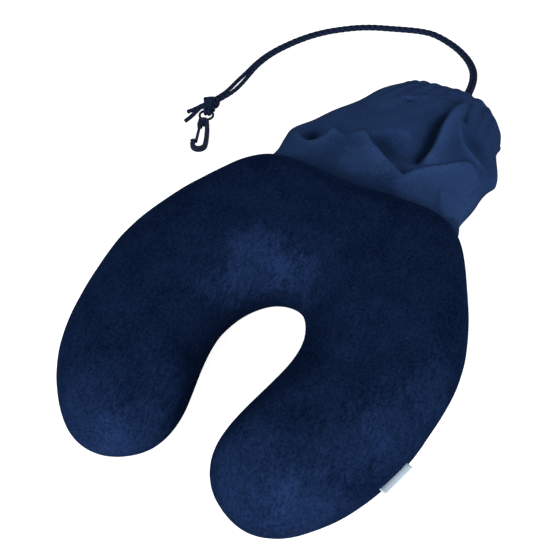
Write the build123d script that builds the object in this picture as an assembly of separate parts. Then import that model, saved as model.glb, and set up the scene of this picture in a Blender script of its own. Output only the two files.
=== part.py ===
from build123d import *
import math
import os

# U shaped travel neck pillow with a stuff sack sewn to its back edge. The sack's draw
# cord leaves the middle of the hem, runs round on the table and ends in a knot and a
# plastic swivel snap hook. Millimetres, +Z up. The origin is the middle of the flat
# underside of the back section; +Y points to the back, the neck opening faces -Y.

# ---- pillow ----
THICKNESS = 90.0
MID_HEIGHT = THICKNESS / 2
COVER_WALL = 1.6
CORE_GAP = 0.4
PANEL_LEVELS = [20, 40, 60, 77, 90]
# Right half of the outline at the seam, from the middle of the back, round the limb
# and up to the middle of the neck arch, and the same points on the flat crown.
SEAM_OUTLINE = (
    (0.0, 65.5),
    (46.0, 68.0),
    (88.0, 62.0),
    (121.0, 18.0),
    (150.0, -64.0),
    (147.5, -134.0),
    (115.0, -220.0),
    (65.0, -252.0),
    (26.0, -230.0),
    (25.0, -170.0),
    (32.0, -130.0),
    (30.0, -102.0),
    (22.0, -82.0),
    (11.0, -69.0),
    (0.0, -65.0),
)
CROWN_OUTLINE = (
    (0.0, 17.0),
    (48.0, 20.0),
    (72.0, 14.0),
    (82.0, -6.0),
    (101.0, -68.0),
    (101.0, -120.0),
    (91.0, -172.0),
    (78.0, -186.0),
    (68.0, -174.0),
    (70.0, -150.0),
    (77.0, -118.0),
    (75.0, -88.0),
    (60.0, -52.0),
    (32.0, -25.0),
    (0.0, -17.0),
)

# ---- edge seam, label and the band that carries the sack ----
SEAM_GAP = 1.0
SEAM_GROOVE = 0.6
PIECE_GAP = 0.05
LABEL_LENGTH = 28.0
LABEL_PROUD = 6.0
LABEL_TUCK = 1.4
LABEL_THICKNESS = 0.9
LABEL_CENTRE = (139.8, -169.5)
LABEL_ANGLE = -16.5
BAND_HALF_WIDTH = 97.0
BAND_END = 70.4
BAND_THICKNESS = 0.9

# ---- stuff sack ----
# Stations along the sack: distance back, left edge, right edge, top and bottom height.
SACK_STATIONS = (
    (72.4, -97.0, 97.0, 47.6, 42.4),
    (76.0, -98.2, 96.6, 48.0, 40.2),
    (82.0, -100.2, 96.2, 47.6, 33.6),
    (90.0, -103.0, 95.6, 46.6, 23.5),
    (100.0, -105.4, 95.0, 45.4, 12.6),
    (114.0, -107.6, 94.6, 43.8, 4.6),
    (134.0, -107.6, 94.6, 41.6, 1.0),
    (162.0, -96.0, 94.0, 39.4, 0.6),
    (192.0, -81.5, 91.0, 36.0, 0.6),
    (222.0, -67.0, 84.0, 31.6, 0.6),
    (248.0, -51.5, 69.0, 26.8, 0.6),
    (264.0, -42.0, 55.0, 23.5, 0.6),
)
SACK_WALL = 1.0
SIDE_SEAM_GAP = 0.45
SIDE_SEAM_THICKNESS = 0.5
SIDE_SEAM_WIDTH = 1.8
CASING_LENGTH = 12.0
CASING_WALL = 0.9
CASING_CHANNEL = 4.6
CASING_CHANNEL_LENGTH = 8.0
HEM_CORD_RADIUS = 1.4

# ---- draw cord ----
CORD_RADIUS = 1.9
STRAND_SPACING = 4.1
TABLE_CORD_HEIGHT = 2.2
EXIT_X = 27.0
EXIT_HEIGHT = 19.0
LEAD_START = 238.0
LEAD_END = 281.0
LEAD_CLEARANCE = 0.35
EXIT_OPENING = 12.0
FIRST_RUN = (
    (26.8, 286.0, 18.2),
    (25.4, 295.0, 15.2),
    (23.0, 306.0, 11.6),
    (18.4, 322.0, 7.6),
    (10.6, 339.0, 4.2),
    (-1.0, 355.5, TABLE_CORD_HEIGHT),
    (-17.0, 369.0, TABLE_CORD_HEIGHT),
    (-35.0, 378.8, TABLE_CORD_HEIGHT),
    (-52.0, 383.8, TABLE_CORD_HEIGHT),
    (-68.0, 383.0, TABLE_CORD_HEIGHT),
)
SECOND_RUN = (
    (-73.2, 381.6, TABLE_CORD_HEIGHT),
    (-101.0, 371.6, TABLE_CORD_HEIGHT),
    (-141.0, 349.4, TABLE_CORD_HEIGHT),
    (-171.0, 320.5, TABLE_CORD_HEIGHT),
    (-195.0, 275.0, TABLE_CORD_HEIGHT),
    (-200.5, 240.0, TABLE_CORD_HEIGHT),
    (-201.0, 205.0, TABLE_CORD_HEIGHT),
    (-208.5, 168.0, TABLE_CORD_HEIGHT + 2.0),
)

# ---- snap hook, drawn flat with its length along local X, then laid in place ----
HOOK_PLACE = (-205.0, 139.0, 5.3)
HOOK_ANGLE = -70.5
EYE_RING_RADIUS = 7.0
EYE_BAR_RADIUS = 1.3
EYE_CENTRE = 1.5
STEM_RADIUS = 2.0
STEM_HEAD_RADIUS = 3.2
STEM_HEAD_LENGTH = 1.8
STEM_CLEARANCE = 0.08
COLLAR_START = 9.6
COLLAR_END = 14.2
COLLAR_RADIUS = 4.2
HOOK_THICKNESS = 5.0
HOOK_BAR = 4.6
HOOK_EDGE = 0.7
BEND_CENTRE = (47.0, 1.8)
BEND_RADIUS = 6.4
SPINE_POINTS = ((13.0, 3.0), (21.0, 4.9), (34.0, 7.1))
NOSE_LENGTH = 5.5
NOSE_OUTWARD = 1.2
GATE_PIVOT = (18.8, -3.3)
GATE_TIP = (42.6, -2.0)
GATE_THICKNESS = 2.1
GATE_KNUCKLE = 1.7
GATE_SOCKET = 1.78
GATE_BOSS = 2.6
GATE_WIDTH = 4.4
GATE_SWING = 15.0
GATE_STEP = 5
GATE_CLEARANCE = 0.12
YOKE_EDGE = 1.1

# ---- loop through the eye, overhand knot and cut ends ----
LOOP_LEG = 8.6
LOOP_RADIUS = 3.35
KNOT_BEHIND = 20.5
KNOT_SCALE = 2.7
KNOT_DEPTH = 2.4
KNOT_CORD = 1.45
KNOT_HEIGHT = 4.4
KNOT_STEPS = 12
UPPER_TAIL = ((-214.5, 155.0, 4.0), (-221.0, 146.0, 2.4), (-227.0, 135.5, TABLE_CORD_HEIGHT))
LOWER_TAIL = ((-213.5, 149.5, 5.0), (-218.0, 140.0, 3.0), (-219.5, 131.0, 2.1), (-221.0, 121.5, 2.0))


def step_toward(start, end, distance):
    """The point a given distance from start on the straight line to end."""
    run = math.dist(start, end)
    return tuple(a + (b - a) * distance / run for a, b in zip(start, end))


def pillow_ring(inset, angle):
    """Outline at one height: -90 is the underside, 0 the seam and 90 the crown."""
    share = 1 - math.cos(math.radians(angle))
    height = MID_HEIGHT + (MID_HEIGHT - inset) * math.sin(math.radians(angle))
    half = []
    for seam, crown in zip(SEAM_OUTLINE, CROWN_OUTLINE):
        start = step_toward(seam, crown, inset)
        across, back = (near + (far - near) * share for near, far in zip(start, crown))
        half.append((across, back, height))
    ring = half + [(-across, back, up) for across, back, up in reversed(half[:-1])]
    return Wire(Spline(*ring, tangents=[(1, 0, 0), (1, 0, 0)], tangent_scalars=[1, 1]))


def pillow_form(inset, angles):
    """The pillow's plump body through the given levels, inset all round."""
    return loft([make_face(pillow_ring(inset, angle)) for angle in angles])


def cover_panel(side):
    """One half of the cover: side 1 is the top panel, -1 the bottom one."""
    edge = math.degrees(math.asin(SEAM_GAP / 2 / MID_HEIGHT))
    inner_edge = math.degrees(math.asin(SEAM_GAP / 2 / (MID_HEIGHT - COVER_WALL)))
    skins = []
    for inset, first in ((0, edge), (COVER_WALL, inner_edge)):
        angles = [side * angle for angle in [first] + PANEL_LEVELS]
        form = pillow_form(inset, angles)
        skins += form.faces().filter_by(lambda face: abs(face.center().Z - MID_HEIGHT) > SEAM_GAP)
    rim = Face(pillow_ring(0, side * edge), [pillow_ring(COVER_WALL, side * inner_edge)])
    panel = Solid(Shell(skins + [rim]))
    return panel if panel.volume > 0 else -panel


def seam_tape(label):
    """The sewn seam between the panels, set in to leave a groove and open at the label."""
    outline = Face(pillow_ring(SEAM_GROOVE, 0), [pillow_ring(COVER_WALL, 0)])
    tape = Pos(0, 0, -SEAM_GAP / 2 + PIECE_GAP) * extrude(outline, SEAM_GAP - 2 * PIECE_GAP, dir=(0, 0, 1))
    return tape - label


def label_block(clearance):
    """The folded label standing out of the seam on the outside of the right limb."""
    width = LABEL_PROUD + LABEL_TUCK
    block = Box(width + 2 * clearance, LABEL_LENGTH + 2 * clearance, LABEL_THICKNESS + 2 * clearance)
    shift = Pos((LABEL_PROUD - LABEL_TUCK) / 2, 0, 0)
    return Pos(*LABEL_CENTRE, MID_HEIGHT) * Rot(0, 0, LABEL_ANGLE) * shift * block


def sewing_band(outer):
    """The flat band sewn into the back seam, reaching straight back to the sack."""
    strip = Pos(0, BAND_END / 2, MID_HEIGHT) * Box(2 * BAND_HALF_WIDTH, BAND_END, BAND_THICKNESS)
    return (strip - outer).solids().sort_by(Axis.Y)[-1]


def station_size(station, inset):
    """Centre and half sizes of one oval station of the sack."""
    _, left, right, top, bottom = station
    return (left + right) / 2, (top + bottom) / 2, (right - left) / 2 - inset, (top - bottom) / 2 - inset


def station_plane(station):
    """Upright plane across the sack at a station, with its local Y pointing up."""
    across, up, _, _ = station_size(station, 0)
    return Plane(origin=(across, station[0], up), x_dir=(1, 0, 0), z_dir=(0, -1, 0))


def panel_section(station, side):
    """Half an oval ring: the sack's upper (1) or lower (-1) layer at one station."""
    arcs = []
    for inset in (0, SACK_WALL):
        _, _, wide, high = station_size(station, inset)
        rise = math.degrees(math.asin(SIDE_SEAM_GAP / high))
        arcs.append(EllipticalCenterArc((0, 0), wide, high, start_angle=rise, arc_size=180 - 2 * rise))
    ends = [Line(arcs[0] @ share, arcs[1] @ share) for share in (0, 1)]
    face = make_face([*arcs, *ends])
    return station_plane(station) * (face if side > 0 else mirror(face, about=Plane.XZ))


def sack_panel(side):
    """The sack's upper or lower layer, lofted through its stations."""
    return loft([panel_section(station, side) for station in SACK_STATIONS])


def side_seam(side):
    """The thin sewn edge between the two layers, on the sack's left or right."""
    sections = []
    for station in SACK_STATIONS:
        _, _, wide, _ = station_size(station, 0)
        strip = Pos(side * wide, 0) * Rectangle(SIDE_SEAM_WIDTH, SIDE_SEAM_THICKNESS)
        sections.append(station_plane(station) * strip)
    return loft(sections)


def hem_ring(outer_inset, inner_inset, start, length):
    """A straight oval tube wall on the sack's mouth."""
    _, _, wide, high = station_size(SACK_STATIONS[-1], 0)
    ring = Ellipse(wide - outer_inset, high - outer_inset) - Ellipse(wide - inner_inset, high - inner_inset)
    back = Plane(origin=(0, start, 0), x_dir=(1, 0, 0), z_dir=(0, -1, 0))
    across, up, _, _ = station_size(SACK_STATIONS[-1], 0)
    return extrude(back * Pos(across, up) * ring, amount=-length)


def mouth_casing():
    """The hem folded round the mouth, hollow for the cord and open at its exit."""
    start = SACK_STATIONS[-1][0] + PIECE_GAP
    spare = (CASING_LENGTH - CASING_CHANNEL_LENGTH) / 2
    depth = CASING_CHANNEL + 2 * CASING_WALL
    hem = hem_ring(0, depth, start, CASING_LENGTH)
    channel = hem_ring(CASING_WALL, CASING_WALL + CASING_CHANNEL, start + spare, CASING_CHANNEL_LENGTH)
    return hem - channel - exit_hole()


def hem_cord():
    """The draw cord's ring inside the hem, open where the cord leaves it."""
    inset = CASING_WALL + CASING_CHANNEL / 2
    across, up, wide, high = station_size(SACK_STATIONS[-1], inset)
    exit_angle = math.degrees(math.acos((EXIT_X - across) / wide))
    middle = SACK_STATIONS[-1][0] + PIECE_GAP + CASING_LENGTH / 2
    back = Plane(origin=(across, middle, up), x_dir=(1, 0, 0), z_dir=(0, -1, 0))
    first = exit_angle + EXIT_OPENING
    arc = EllipticalCenterArc((0, 0), wide, high, start_angle=first, arc_size=360 - 2 * EXIT_OPENING)
    return cord_along(back * arc, HEM_CORD_RADIUS)


def exit_hole():
    """The slot in the hem that lets both strands of the draw cord out."""
    radius = CORD_RADIUS + LEAD_CLEARANCE
    lane = Plane(origin=(EXIT_X, LEAD_START, EXIT_HEIGHT), x_dir=(1, 0, 0), z_dir=(0, 1, 0))
    return extrude(lane * SlotOverall(STRAND_SPACING + 2 * radius, 2 * radius), amount=LEAD_END - LEAD_START)


def strand(points, side):
    """One of the two cord strands that lie side by side along a centre line."""
    centre = Spline(*points)
    count = len(points) * 2
    lane = []
    for index in range(count + 1):
        share = index / count
        place = centre.position_at(share)
        heading = centre.tangent_at(share)
        across = Vector(heading.Y, -heading.X, 0).normalized()
        lane.append(place + across * side * STRAND_SPACING / 2)
    return cord_along(Spline(*lane), CORD_RADIUS)


def cord_along(path, radius):
    """A round cord following a path."""
    start = Plane(origin=path.position_at(0), z_dir=path.tangent_at(0))
    return sweep(start * Circle(radius), path=path)


def lead_strand(side):
    """The straight end of one strand, running out through the hem."""
    start = Plane(origin=(EXIT_X + side * STRAND_SPACING / 2, LEAD_START, EXIT_HEIGHT), z_dir=(0, 1, 0))
    return extrude(start * Circle(CORD_RADIUS), amount=LEAD_END - LEAD_START)


def hook_placed(shape):
    """Moves a piece of the hook from its own flat drawing to where it lies."""
    return Pos(*HOOK_PLACE) * Rot(0, 0, HOOK_ANGLE) * shape


def along_x(radius, start, end):
    """A cylinder on the hook's long axis between two distances along it."""
    return Pos((start + end) / 2, 0, 0) * Rot(0, 90, 0) * Cylinder(radius, end - start)


def hook_eye():
    """Ring, swivel stem and the stem's head behind the collar."""
    ring = Pos(EYE_CENTRE, 0, 0) * Torus(EYE_RING_RADIUS, EYE_BAR_RADIUS)
    root = EYE_CENTRE + EYE_RING_RADIUS
    head_start = COLLAR_END + STEM_CLEARANCE
    stem = along_x(STEM_RADIUS, root, head_start + STEM_HEAD_LENGTH / 2)
    head = along_x(STEM_HEAD_RADIUS, head_start, head_start + STEM_HEAD_LENGTH)
    return ring + stem + head


def hook_bar():
    """Spine, round bend and the nose turned outward, as one flat bar."""
    bend_x, bend_y = BEND_CENTRE
    spine = Spline(*SPINE_POINTS, (bend_x, bend_y + BEND_RADIUS), tangents=[(1, 0.25), (1, 0)], tangent_scalars=[1, 1])
    bend = CenterArc(BEND_CENTRE, BEND_RADIUS, 90, -180)
    root = (bend_x, bend_y - BEND_RADIUS)
    tip = (root[0] - NOSE_LENGTH, root[1] - NOSE_OUTWARD)
    nose = Spline(root, tip, tangents=[(-1, 0), (-1, -0.5)])
    flat = extrude(trace([spine, bend, nose], line_width=HOOK_BAR), amount=HOOK_THICKNESS / 2, both=True)
    rims = flat.edges().filter_by(lambda edge: abs(abs(edge.center().Z) - HOOK_THICKNESS / 2) < 0.01)
    return fillet(rims, HOOK_EDGE)


def gate_turned(angle, grow):
    """The spring gate at an angle from rest, grown by a clearance all round."""
    length = math.dist(GATE_PIVOT, GATE_TIP)
    lean = math.degrees(math.atan2(GATE_TIP[1] - GATE_PIVOT[1], GATE_TIP[0] - GATE_PIVOT[0]))
    width = GATE_WIDTH + 2 * grow
    knuckle = Cylinder(GATE_KNUCKLE + grow, width)
    arm = Pos(length / 2, 0, 0) * Box(length + 2 * grow, GATE_THICKNESS + 2 * grow, width)
    return Pos(*GATE_PIVOT, 0) * Rot(0, 0, lean + angle) * (knuckle + arm)


def hook_body():
    """Collar, shoulder with the gate's socket, and the hook's bar."""
    collar = along_x(COLLAR_RADIUS, COLLAR_START, COLLAR_END)
    yoke_length = COLLAR_END - COLLAR_START
    yoke_centre = (COLLAR_START + COLLAR_END) / 2
    yoke_width = -GATE_PIVOT[1] + 2 * YOKE_EDGE
    yoke = Pos(yoke_centre, GATE_PIVOT[1] / 2, 0) * Box(yoke_length, yoke_width, HOOK_THICKNESS)
    arm_length = GATE_PIVOT[0] - COLLAR_START
    arm_y = GATE_PIVOT[1] - GATE_BOSS + YOKE_EDGE
    arm = Pos(COLLAR_START + arm_length / 2, arm_y, 0) * Box(arm_length, 2 * YOKE_EDGE, HOOK_THICKNESS)
    boss = Pos(*GATE_PIVOT, 0) * Cylinder(GATE_BOSS, HOOK_THICKNESS)
    body = collar + yoke + arm + boss + hook_bar()
    body -= Pos(*GATE_PIVOT, 0) * Cylinder(GATE_SOCKET, 2 * HOOK_THICKNESS)
    for angle in range(0, int(GATE_SWING) + 1, GATE_STEP):
        body -= gate_turned(angle, GATE_CLEARANCE)
    body -= along_x(STEM_RADIUS + STEM_CLEARANCE, COLLAR_START - 1, COLLAR_END + 1)
    head_room = COLLAR_END + 2 * STEM_CLEARANCE + STEM_HEAD_LENGTH
    body -= along_x(STEM_HEAD_RADIUS + 2 * STEM_CLEARANCE, COLLAR_END, head_room)
    return body


def eye_loop():
    """The doubled cord passed through the eye: over the ring's bar and back under it."""
    turn = EYE_CENTRE - EYE_RING_RADIUS
    far = turn - LOOP_LEG
    over = Line((far, 0, LOOP_RADIUS), (turn, 0, LOOP_RADIUS))
    round_bar = ThreePointArc((turn, 0, LOOP_RADIUS), (turn + LOOP_RADIUS, 0, 0), (turn, 0, -LOOP_RADIUS))
    under = Line((turn, 0, -LOOP_RADIUS), (far, 0, -LOOP_RADIUS))
    return cord_along(Wire([over, round_bar, under]), CORD_RADIUS)


def knot_point(turn):
    """A point on the three-lobed curve of an overhand knot, turn in radians."""
    across = KNOT_SCALE * (math.sin(turn) + 2 * math.sin(2 * turn))
    along = KNOT_SCALE * (math.cos(turn) - 2 * math.cos(2 * turn))
    return across, along, -KNOT_DEPTH * math.sin(3 * turn)


def knot():
    """An overhand knot drawn in two halves that meet end to end."""
    centre = HOOK_PLACE[0] - KNOT_BEHIND * math.cos(math.radians(HOOK_ANGLE))
    back = HOOK_PLACE[1] - KNOT_BEHIND * math.sin(math.radians(HOOK_ANGLE))
    halves = []
    for start in (0, math.pi):
        turns = [start + math.pi * index / KNOT_STEPS for index in range(KNOT_STEPS + 1)]
        halves.append(cord_along(Spline(*[knot_point(turn) for turn in turns]), KNOT_CORD))
    return Pos(centre, back, KNOT_HEIGHT) * (halves[0] + halves[1])


def build():
    """Every piece of the pillow, its sack, cord and hook, by name."""
    levels = [-angle for angle in reversed(PANEL_LEVELS)] + [0] + PANEL_LEVELS
    outer = pillow_form(0, levels)
    parts = {}
    parts["foam_core"] = pillow_form(COVER_WALL + CORE_GAP, levels)
    parts["cover_top_panel"] = cover_panel(1)
    parts["cover_bottom_panel"] = cover_panel(-1)
    parts["edge_seam"] = seam_tape(label_block(PIECE_GAP))
    parts["woven_label"] = label_block(0)
    parts["sack_sewing_band"] = sewing_band(outer)
    parts["sack_top_panel"] = sack_panel(1)
    parts["sack_bottom_panel"] = sack_panel(-1)
    parts["sack_left_seam"] = side_seam(-1)
    parts["sack_right_seam"] = side_seam(1)
    parts["mouth_casing"] = mouth_casing()
    parts["hem_cord"] = hem_cord()
    for side, word in ((-1, "left"), (1, "right")):
        parts[f"cord_lead_{word}"] = lead_strand(side)
        parts[f"first_run_{word}"] = strand(FIRST_RUN, side)
        parts[f"second_run_{word}"] = strand(SECOND_RUN, side)
    parts["knot"] = knot()
    parts["eye_loop"] = hook_placed(eye_loop())
    parts["upper_tail"] = cord_along(Spline(*UPPER_TAIL), CORD_RADIUS)
    parts["lower_tail"] = cord_along(Spline(*LOWER_TAIL), CORD_RADIUS)
    parts["hook_eye"] = hook_placed(hook_eye())
    parts["hook_body"] = hook_placed(hook_body())
    parts["hook_gate"] = hook_placed(gate_turned(0, 0))
    return parts


os.makedirs("parts", exist_ok=True)
for name, shape in build().items():
    export_step(shape, f"parts/{name}.step")
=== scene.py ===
import math

import bmesh
import bpy
import numpy as np
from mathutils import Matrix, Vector, noise


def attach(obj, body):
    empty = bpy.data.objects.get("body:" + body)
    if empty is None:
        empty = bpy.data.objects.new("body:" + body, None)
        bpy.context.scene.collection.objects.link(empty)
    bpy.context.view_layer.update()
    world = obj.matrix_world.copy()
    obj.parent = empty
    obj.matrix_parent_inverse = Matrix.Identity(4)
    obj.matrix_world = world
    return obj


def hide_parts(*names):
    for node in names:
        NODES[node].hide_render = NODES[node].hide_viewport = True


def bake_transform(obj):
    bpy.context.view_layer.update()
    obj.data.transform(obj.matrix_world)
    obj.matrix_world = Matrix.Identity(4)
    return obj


# U shaped velour neck pillow with a stuff sack on its back edge, a doubled draw cord, a
# knot and a plastic snap hook, in the CAD's own frame. Blender works in metres. The sack,
# cord, knot and label are worked out in millimetres and turned into metres by mm().

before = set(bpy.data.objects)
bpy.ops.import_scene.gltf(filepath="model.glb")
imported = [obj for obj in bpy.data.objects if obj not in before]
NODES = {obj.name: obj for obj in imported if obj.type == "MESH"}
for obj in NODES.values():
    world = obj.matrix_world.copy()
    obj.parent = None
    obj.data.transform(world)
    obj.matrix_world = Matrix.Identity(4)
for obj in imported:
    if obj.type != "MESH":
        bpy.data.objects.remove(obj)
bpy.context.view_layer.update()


def mm(*values):
    """Millimetres to metres; one value gives a number, several give a tuple."""
    scaled = tuple(value / 1000 for value in values)
    return scaled[0] if len(scaled) == 1 else scaled


# ---- pillow cover ----
SEAM_HEIGHT = mm(45)
CLOTH_STAND_OFF = mm(2.2)
OUTER_FULLNESS = mm(1.5)
NECK_MIDDLE = (0.0, mm(-90))
COVER_FOLLOW = 0.7
COVER_VOXEL = mm(5)
PUFF_PRESSURE = 4.0
PUFF_FRAMES = 20
PUFF_CAP = mm(3.0)
RELAX_PASSES = 6
COVER_WAVES = ((mm(60), 1, mm(0.9)), (mm(22), 2, mm(0.35)))
COVER_LOWEST = mm(0.2)
SEAM_CUTS = (-6, -3.6, -2, -1, 0, 1, 2, 3.6, 6)
SEAM_DEPTH = mm(0.9)
SEAM_WIDTH = mm(1.1)
STITCH_LENGTH = 3.4
STITCH_GAP = 0.8
STITCH_RADIUS = 0.42
STITCH_SIDES = 6
STITCH_RINGS = ((0, 0.3), (0.12, 0.85), (0.5, 1.0), (0.88, 0.85), (1, 0.3))

# ---- stuff sack: distance back, left edge, right edge, top height, bottom height ----
SACK_STATIONS = (
    (70.0, -96.5, 96.5, 46.2, 43.8),
    (76.0, -100.0, 96.0, 48.5, 38.0),
    (86.0, -103.0, 93.5, 49.5, 24.0),
    (100.0, -103.0, 90.0, 48.0, 9.0),
    (122.0, -103.0, 87.5, 45.5, 1.2),
    (140.0, -103.5, 89.0, 43.5, 0.8),
    (162.0, -93.0, 92.5, 41.5, 0.8),
    (192.0, -80.0, 96.0, 39.0, 0.8),
    (222.0, -67.0, 95.5, 35.5, 0.8),
    (250.0, -54.0, 89.0, 30.5, 0.8),
    (271.0, -41.0, 83.0, 25.5, 0.8),
)
SACK_AROUND = 320
SACK_ALONG = 170
SACK_WALL = mm(0.9)
MOUTH_CURVE = 0.0136
MOUTH_CURVE_FROM = 24.0
MOUTH_CURVE_START = 140.0
HEM_LENGTH = 11.0
HEM_THICKNESS = 5.2
HEM_SIDES = 28

# Creases of the sack's top layer: points in millimetres, then how far the crease reaches
# to the left and to the right of the way the points run, then its height (a valley is
# negative). Pits: centre, radii, turn in degrees and depth.
CREASES = (
    (
        ((33, 272), (32, 258), (29, 243), (28, 226), (29, 202), (32, 182), (34, 164), (34, 146), (34, 128)),
        15.0, 2.0, 7.0,
    ),
    (
        ((27, 272), (26, 258), (23, 243), (22, 226), (23, 202), (26, 182), (28, 164), (27, 146), (28, 128)),
        2.2, 9.0, -7.5,
    ),
    (
        ((30, 256), (31, 241), (36, 225), (45, 206), (51, 195), (60, 186), (72, 180), (88, 180)),
        3.5, 9.0, 5.5,
    ),
    (((36, 264), (38, 250), (41, 235), (43, 220)), 3.0, 2.5, -5.0),
    (
        ((82, 172), (66, 160), (54, 144), (40, 129), (33, 120), (27, 108), (20, 94), (14, 84)),
        20.0, 2.6, 6.5,
    ),
    (
        ((-40, 158), (-30, 147), (-20, 137), (-11, 130), (3, 119), (17, 110), (27, 104), (38, 98)),
        2.8, 18.0, 6.5,
    ),
    (((-36, 132), (-33, 144), (-26, 156), (-16, 165), (-4, 169), (10, 168)), 14.0, 4.0, 3.0),
    (((-95, 132), (-90, 122), (-83, 114), (-73, 109), (-65, 115), (-61, 128), (-60, 146)), 4.0, 11.0, 8.0),
    (((60, 114), (64, 104), (67, 97), (72, 90), (82, 84)), 14.0, 3.0, 4.0),
    (((-30, 228), (-22, 232), (-14, 238), (-6, 246)), 3.0, 3.0, 2.5),
)
PITS = (
    ((-5, 146), (22, 13), -36, 6.0),
    ((-79, 131), (8, 11), 0, 10.0),
    ((-19, 229), (6, 4), 20, 4.0),
    ((65, 210), (25, 14), -56, 5.5),
    ((68, 132), (28, 32), 0, -3.0),
)
CREASE_FADE = 0.14
HOLLOW_DEPTH = 4.5
HOLLOW_SPREAD = 60
# Painted shade on the sack next to the pillow: amount, and where it starts to fade and over how far, in
# millimetres.
BASE_SHADE = 0.5
BASE_SHADE_FROM = 80.0
BASE_SHADE_REACH = 24.0
EXIT = (27.0, 272.0)
PLEATS = 15
PLEAT_HEIGHT = 1.0
PLEAT_REACH = 70.0
HEM_PLEATS = 26
HEM_PLEAT_HEIGHT = 1.3

# ---- draw cord, in millimetres: from inside the sack, out of the hem, to the knot ----
CORD_RADIUS = 2.15
STRAND_SPACING = 4.2
CORD_STEP = 0.6
CORD_SIDES = 20
BRAID_CARRIERS = 6
BRAID_PITCH = 7.0
BRAID_RELIEF = 0.14
CORD_PATH = (
    (27.0, 240.0, 19.0),
    (27.0, 256.0, 19.0),
    (27.0, 272.0, 19.0),
    (25.0, 286.0, 18.0),
    (23.6, 295.0, 15.4),
    (21.6, 306.0, 12.0),
    (17.9, 322.0, 7.8),
    (11.2, 340.0, 4.4),
    (-0.5, 356.8, 2.5),
    (-16.8, 370.2, 2.3),
    (-35.0, 379.0, 2.3),
    (-52.0, 383.4, 2.3),
    (-66.0, 382.4, 2.3),
    (-80.0, 378.4, 2.3),
    (-101.0, 370.4, 2.3),
    (-121.0, 361.6, 2.3),
    (-141.0, 348.8, 2.3),
    (-163.0, 328.8, 2.3),
    (-181.0, 303.0, 2.3),
    (-195.8, 271.0, 2.3),
    (-201.8, 243.4, 2.3),
    (-203.0, 214.2, 2.3),
    (-204.4, 186.0, 2.7),
    (-208.6, 164.4, 4.4),
    (-210.9, 157.6, 5.2),
)
CORD_SPLIT = 355.0
KNOT_CENTRE = (-211.2, 156.6, 5.0)
KNOT_LOBES = 2.7
KNOT_DEPTH = 2.3
WRAP_OFFSETS = (-8.8, -5.0, -0.8, 3.4)
WRAP_TILTS = (-14.0, 24.0, -20.0, 12.0)
WRAP_WIDTH = 5.8
WRAP_HEIGHT = 3.2
KNOT_POINTS = 180
KNOT_CORD = 1.9
EYE_BACK = (-0.3338, 0.9426)
EYE_BAR = (-206.84, 144.18, 5.3)
LOOP_RADIUS = 3.35
LOOP_LEG = 9.0
LOOP_STEPS = 18
TAILS = {
    "upper_tail": ((-213.0, 157.0, 5.0), (-218.0, 150.0, 3.6), (-222.5, 143.0, 2.2), (-227.0, 135.5, 2.1)),
    "lower_tail": ((-212.5, 152.0, 6.4), (-217.0, 144.0, 4.6), (-219.2, 133.0, 2.3), (-221.0, 122.0, 2.1)),
}

# ---- woven label, in millimetres ----
LABEL_CENTRE = (139.8, -169.5, 45.0)
LABEL_TURN = -16.5
LABEL_LENGTH = 29.0
LABEL_PROUD = 4.4
LABEL_TUCK = 3.0
LABEL_THICKNESS = 0.9
LABEL_FOLD_STEPS = 6
LABEL_STEPS = 28
LABEL_CURL = 0.8
LABEL_DROOP = 0.6

# ---- places painted lighter, partly the nap's lay and partly painted sheen where the cover faces the light: centre and reach in millimetres, gain ----
VELOUR_SHEEN_PATCHES = (
    ((-28.0, -65.0, 72.0), 34.0, 0.60),
    ((6.0, -62.0, 72.0), 24.0, 0.50),
    ((-50.0, -96.0, 64.0), 26.0, 0.40),
    ((-67.0, -248.0, 62.0), 36.0, 0.28),
    ((-34.0, -235.0, 55.0), 30.0, 0.28),
    ((-28.0, -191.0, 70.0), 20.0, 0.25),
    ((59.0, -230.0, 72.0), 44.0, 0.35),
    ((96.0, -221.0, 58.0), 34.0, 0.35),
    ((123.0, -153.0, 70.0), 34.0, 0.35),
    ((137.0, -111.0, 72.0), 24.0, 0.35),
    ((105.0, -181.0, 84.0), 28.0, 0.25),
    ((72.0, -97.0, 88.0), 34.0, 0.12),
)

# ---- parts of the sack that catch the light, in the same form ----
SACK_PATCHES = (
    ((62.0, 112.0, 45.0), 52.0, 0.4),
    ((-14.0, 110.0, 46.0), 26.0, 0.4),
    ((-74.0, 100.0, 40.0), 24.0, 0.15),
)

# ---- colours, as linear light ----
VELOUR_DARK = (0.0028, 0.0078, 0.027)
VELOUR_LIGHT = (0.0140, 0.0335, 0.104)
SACK_DARK = (0.0145, 0.037, 0.112)
SACK_LIGHT = (0.038, 0.088, 0.245)
# Colour of the painted shade deep in the sack's creases.
SACK_CREASE_SHADE = (0.003, 0.008, 0.024)
CORD_DARK = (0.002, 0.004, 0.012)
CORD_LIGHT = (0.015, 0.030, 0.085)
THREAD_DARK = (0.004, 0.009, 0.026)
THREAD_LIGHT = (0.009, 0.018, 0.050)
LABEL_DARK = (0.52, 0.68, 0.86)
LABEL_LIGHT = (0.84, 0.93, 1.0)
PLASTIC_DARK = (0.0045, 0.010, 0.036)
PLASTIC_LIGHT = (0.008, 0.017, 0.056)

# ---- stage: metres and watts ----
FLOOR_SIZE = 12.0
FLOOR_HEIGHT = mm(-0.2)
FLOOR_GLOW = 0.88
FLOOR_CLOUDS = 0.4
FLOOR_DARK = (0.80, 0.80, 0.80)
FLOOR_LIGHT = (0.82, 0.82, 0.82)
WORLD_STRENGTH = 0.46
LIGHT_TARGET = (0.0, 0.0, 0.04)
LIGHTS = {
    "key": ((0.15, -2.0, 0.85), 0.9, 30.0),
    "fill": ((1.8, -0.6, 0.7), 1.2, 10.0),
}
CAMERA_PLACE = (0.21441, -0.47459, 0.62519)
CAMERA_LOOK = (-0.30509, 0.5622, -0.76867)
CAMERA_LENS = 58.89
CAMERA_SENSOR = 36.0


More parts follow.
